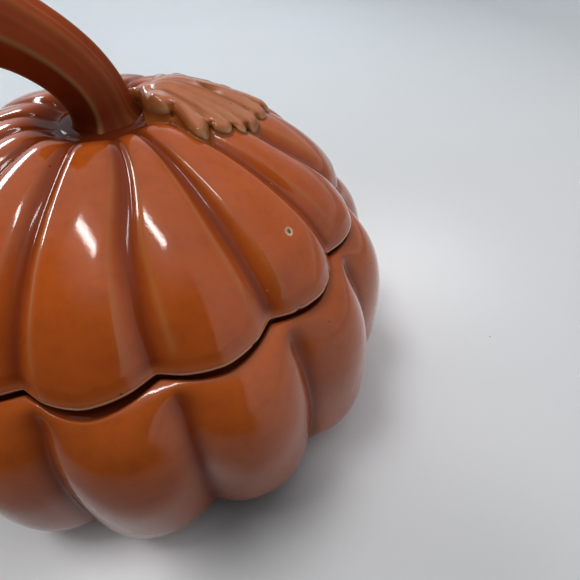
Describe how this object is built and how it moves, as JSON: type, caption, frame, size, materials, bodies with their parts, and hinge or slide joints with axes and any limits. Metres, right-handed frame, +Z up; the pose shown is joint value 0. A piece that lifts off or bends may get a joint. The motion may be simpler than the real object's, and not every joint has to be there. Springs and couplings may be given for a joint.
{
  "type": "lidded ceramic pumpkin dish",
  "caption": "Glazed ceramic pumpkin dish: lobed bowl on a foot ring, overhanging lobed lid with a locating collar, curved fluted stem handle and a thick leaf.",
  "frame": {"origin": "centre of the foot, on the table plane", "axes": "+Z up along the pumpkin axis, the tip of the stem leans to -X and the leaf lies on the +X side"},
  "size_m": [0.1648, 0.1632, 0.1295],
  "materials": {
    "bowl_glaze": "glossy burnt-orange glaze, darker where it pools in the grooves, bare cream clay on the foot ring",
    "lid_glaze": "glossy burnt-orange glaze that thins to a pale line along the rim",
    "collar_glaze": "bare cream clay ledge and skirt",
    "stem_glaze": "glossy brown and olive glaze, lighter along the ridges",
    "leaf_glaze": "glossy burnt-orange glaze with ochre and olive edges"
  },
  "bodies": {
    "bowl": {"bowl": "bowl_glaze"},
    "lid": {"lid_shell": "lid_glaze", "lid_locating_ring": "collar_glaze", "stem_handle": "stem_glaze", "leaf": "leaf_glaze"}
  },
  "joints": [
    {"name": "lid_lift", "type": "slide", "parent": "bowl", "child": "lid", "axis": [0, 0, 1], "range_m": [0, 0.12]}
  ]
}
